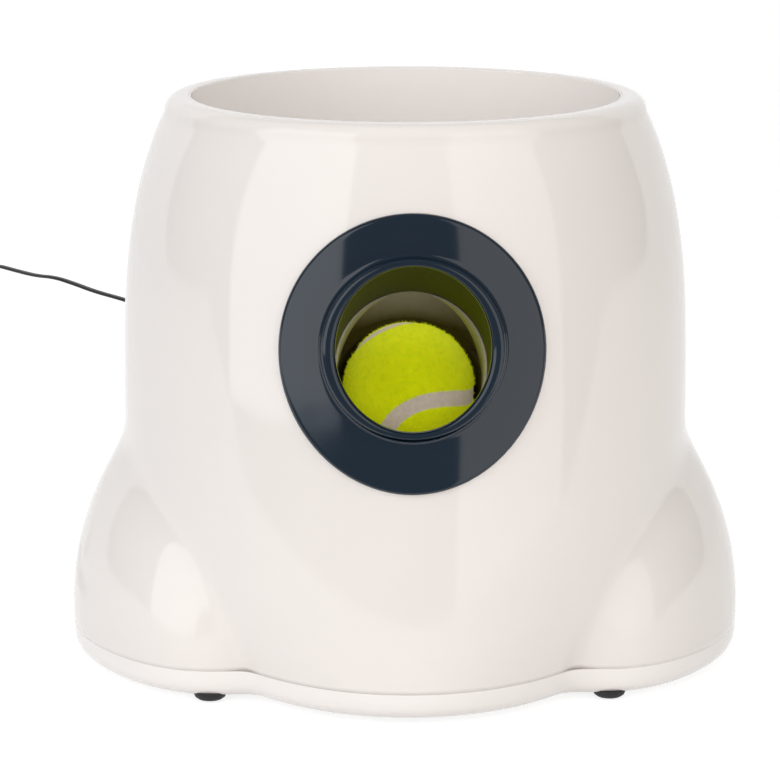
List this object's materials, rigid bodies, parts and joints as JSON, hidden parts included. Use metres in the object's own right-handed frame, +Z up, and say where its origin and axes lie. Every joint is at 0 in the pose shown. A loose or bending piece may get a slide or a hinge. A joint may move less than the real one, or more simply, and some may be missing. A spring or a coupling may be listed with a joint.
{
  "type": "automatic dog ball launcher",
  "caption": "Domed ball launcher for dogs with an open hopper on top, a ringed mouth in front, and a geared spring plunger inside that drives the ball out.",
  "frame": {"origin": "on the floor, under the middle of the body", "axes": "+Z up, +X to the right when the mouth faces the viewer, -Y the way the ball is shot"},
  "size_m": [0.3875, 0.3772, 0.231],
  "materials": {
    "body_shell": "glossy warm white",
    "base_cover": "glossy warm white",
    "hopper_bowl": "glossy warm white",
    "launch_ring": "glossy navy",
    "rubber": "matt black",
    "ball": "fluorescent felt with a pale seam",
    "barrel": "plain beige",
    "pad": "matt black",
    "acetal": "natural white",
    "brass": "turned",
    "spring_steel": "plain wire",
    "steel": "plain",
    "screw_steel": "zinc plated",
    "gearbox": "grey moulding",
    "motor_can": "plated can",
    "dark_plastic": "black",
    "panel": "glossy navy",
    "button": "warm white",
    "lens": "clear green",
    "board": "green laminate",
    "component": "black",
    "contact": "nickel plated",
    "cord": "black jacket",
    "adapter": "black",
    "pin": "nickel plated"
  },
  "bodies": {
    "housing": {"body_shell": "body_shell", "base_cover": "base_cover", "hopper_bowl": "hopper_bowl", "launch_ring": "launch_ring", "foot_front_left": "rubber", "foot_front_right": "rubber", "foot_rear_left": "rubber", "foot_rear_right": "rubber", "launch_barrel": "barrel", "barrel_end_plate": "barrel", "rod_bush": "brass", "launch_spring": "spring_steel", "motor": "motor_can", "sector_shaft": "steel", "second_shaft": "steel", "first_shaft": "steel", "gearbox_plate_left": "gearbox", "gearbox_plate_right": "gearbox", "gearbox_spacers": "gearbox", "gearbox_screws": "screw_steel", "rack_guide": "gearbox", "ball_sensor": "dark_plastic", "main_board": "board", "board_components": "component", "switch_board": "board", "switches_and_lamps": "component", "board_screws": "screw_steel", "control_panel": "panel", "indicator_lenses": "lens", "battery_tray": "gearbox", "battery_contacts": "contact", "base_screws": "screw_steel", "dc_jack": "dark_plastic", "jack_nut": "screw_steel", "dc_plug": "cord", "power_cord": "cord", "cord_coil": "cord", "cord_tail": "cord", "cord_tie": "dark_plastic", "wall_adapter": "adapter", "adapter_relief": "cord", "adapter_pins": "pin"},
    "sector": {"sector_gear": "acetal"},
    "plunger": {"striker_pad": "pad", "striker_head": "acetal", "plunger_rack": "acetal"},
    "second_wheel": {"second_gear": "acetal"},
    "first_wheel": {"first_gear": "acetal"},
    "motor_rotor": {"motor_pinion": "brass"},
    "ball": {"tennis_ball": "ball"},
    "power_key": {"power_button": "button"},
    "distance_key": {"distance_button": "button"},
    "door": {"battery_door": "base_cover"}
  },
  "joints": [
    {"name": "sector_turn", "type": "hinge", "parent": "housing", "child": "sector", "pos_m": [0, 0.05314, 0.05574], "axis": [-1, 0, 0], "range_deg": [0, 120]},
    {"name": "plunger_slide", "type": "slide", "parent": "housing", "child": "plunger", "axis": [0, 0.9239, -0.3827], "range_m": [0, 0.03298], "stiffness_N_per_m": 400, "springref_m": -0.015, "deforming": ["launch_spring"]},
    {"name": "second_wheel_turn", "type": "hinge", "parent": "housing", "child": "second_wheel", "pos_m": [0, 0.03758, 0.03132], "axis": [-1, 0, 0], "range_deg": [-600, 0]},
    {"name": "first_wheel_turn", "type": "hinge", "parent": "housing", "child": "first_wheel", "pos_m": [0, 0.014, 0.03655], "axis": [-1, 0, 0], "range_deg": [0, 2400]},
    {"name": "motor_turn", "type": "hinge", "parent": "housing", "child": "motor_rotor", "pos_m": [0, -0.00452, 0.05076], "axis": [-1, 0, 0], "range_deg": [-11520, 0]},
    {"name": "ball_path", "type": "slide", "parent": "housing", "child": "ball", "axis": [0, -0.9239, 0.3827], "range_m": [0, 0.14]},
    {"name": "power_press", "type": "slide", "parent": "housing", "child": "power_key", "axis": [0, -1, 0], "range_m": [0, 0.0012], "stiffness_N_per_m": 300, "springref_m": -0.002},
    {"name": "distance_press", "type": "slide", "parent": "housing", "child": "distance_key", "axis": [0, -1, 0], "range_m": [0, 0.0012], "stiffness_N_per_m": 300, "springref_m": -0.002},
    {"name": "battery_door_slide", "type": "slide", "parent": "housing", "child": "door", "axis": [0, 1, 0], "range_m": [0, 0.012]}
  ],
  "couplings": [
    {"joint": "sector_turn", "follows": "plunger_slide", "rad_per_m": 63.492},
    {"joint": "second_wheel_turn", "follows": "plunger_slide", "rad_per_m": -317.46},
    {"joint": "first_wheel_turn", "follows": "plunger_slide", "rad_per_m": 1269.8},
    {"joint": "motor_turn", "follows": "plunger_slide", "rad_per_m": -6095.2}
  ]
}
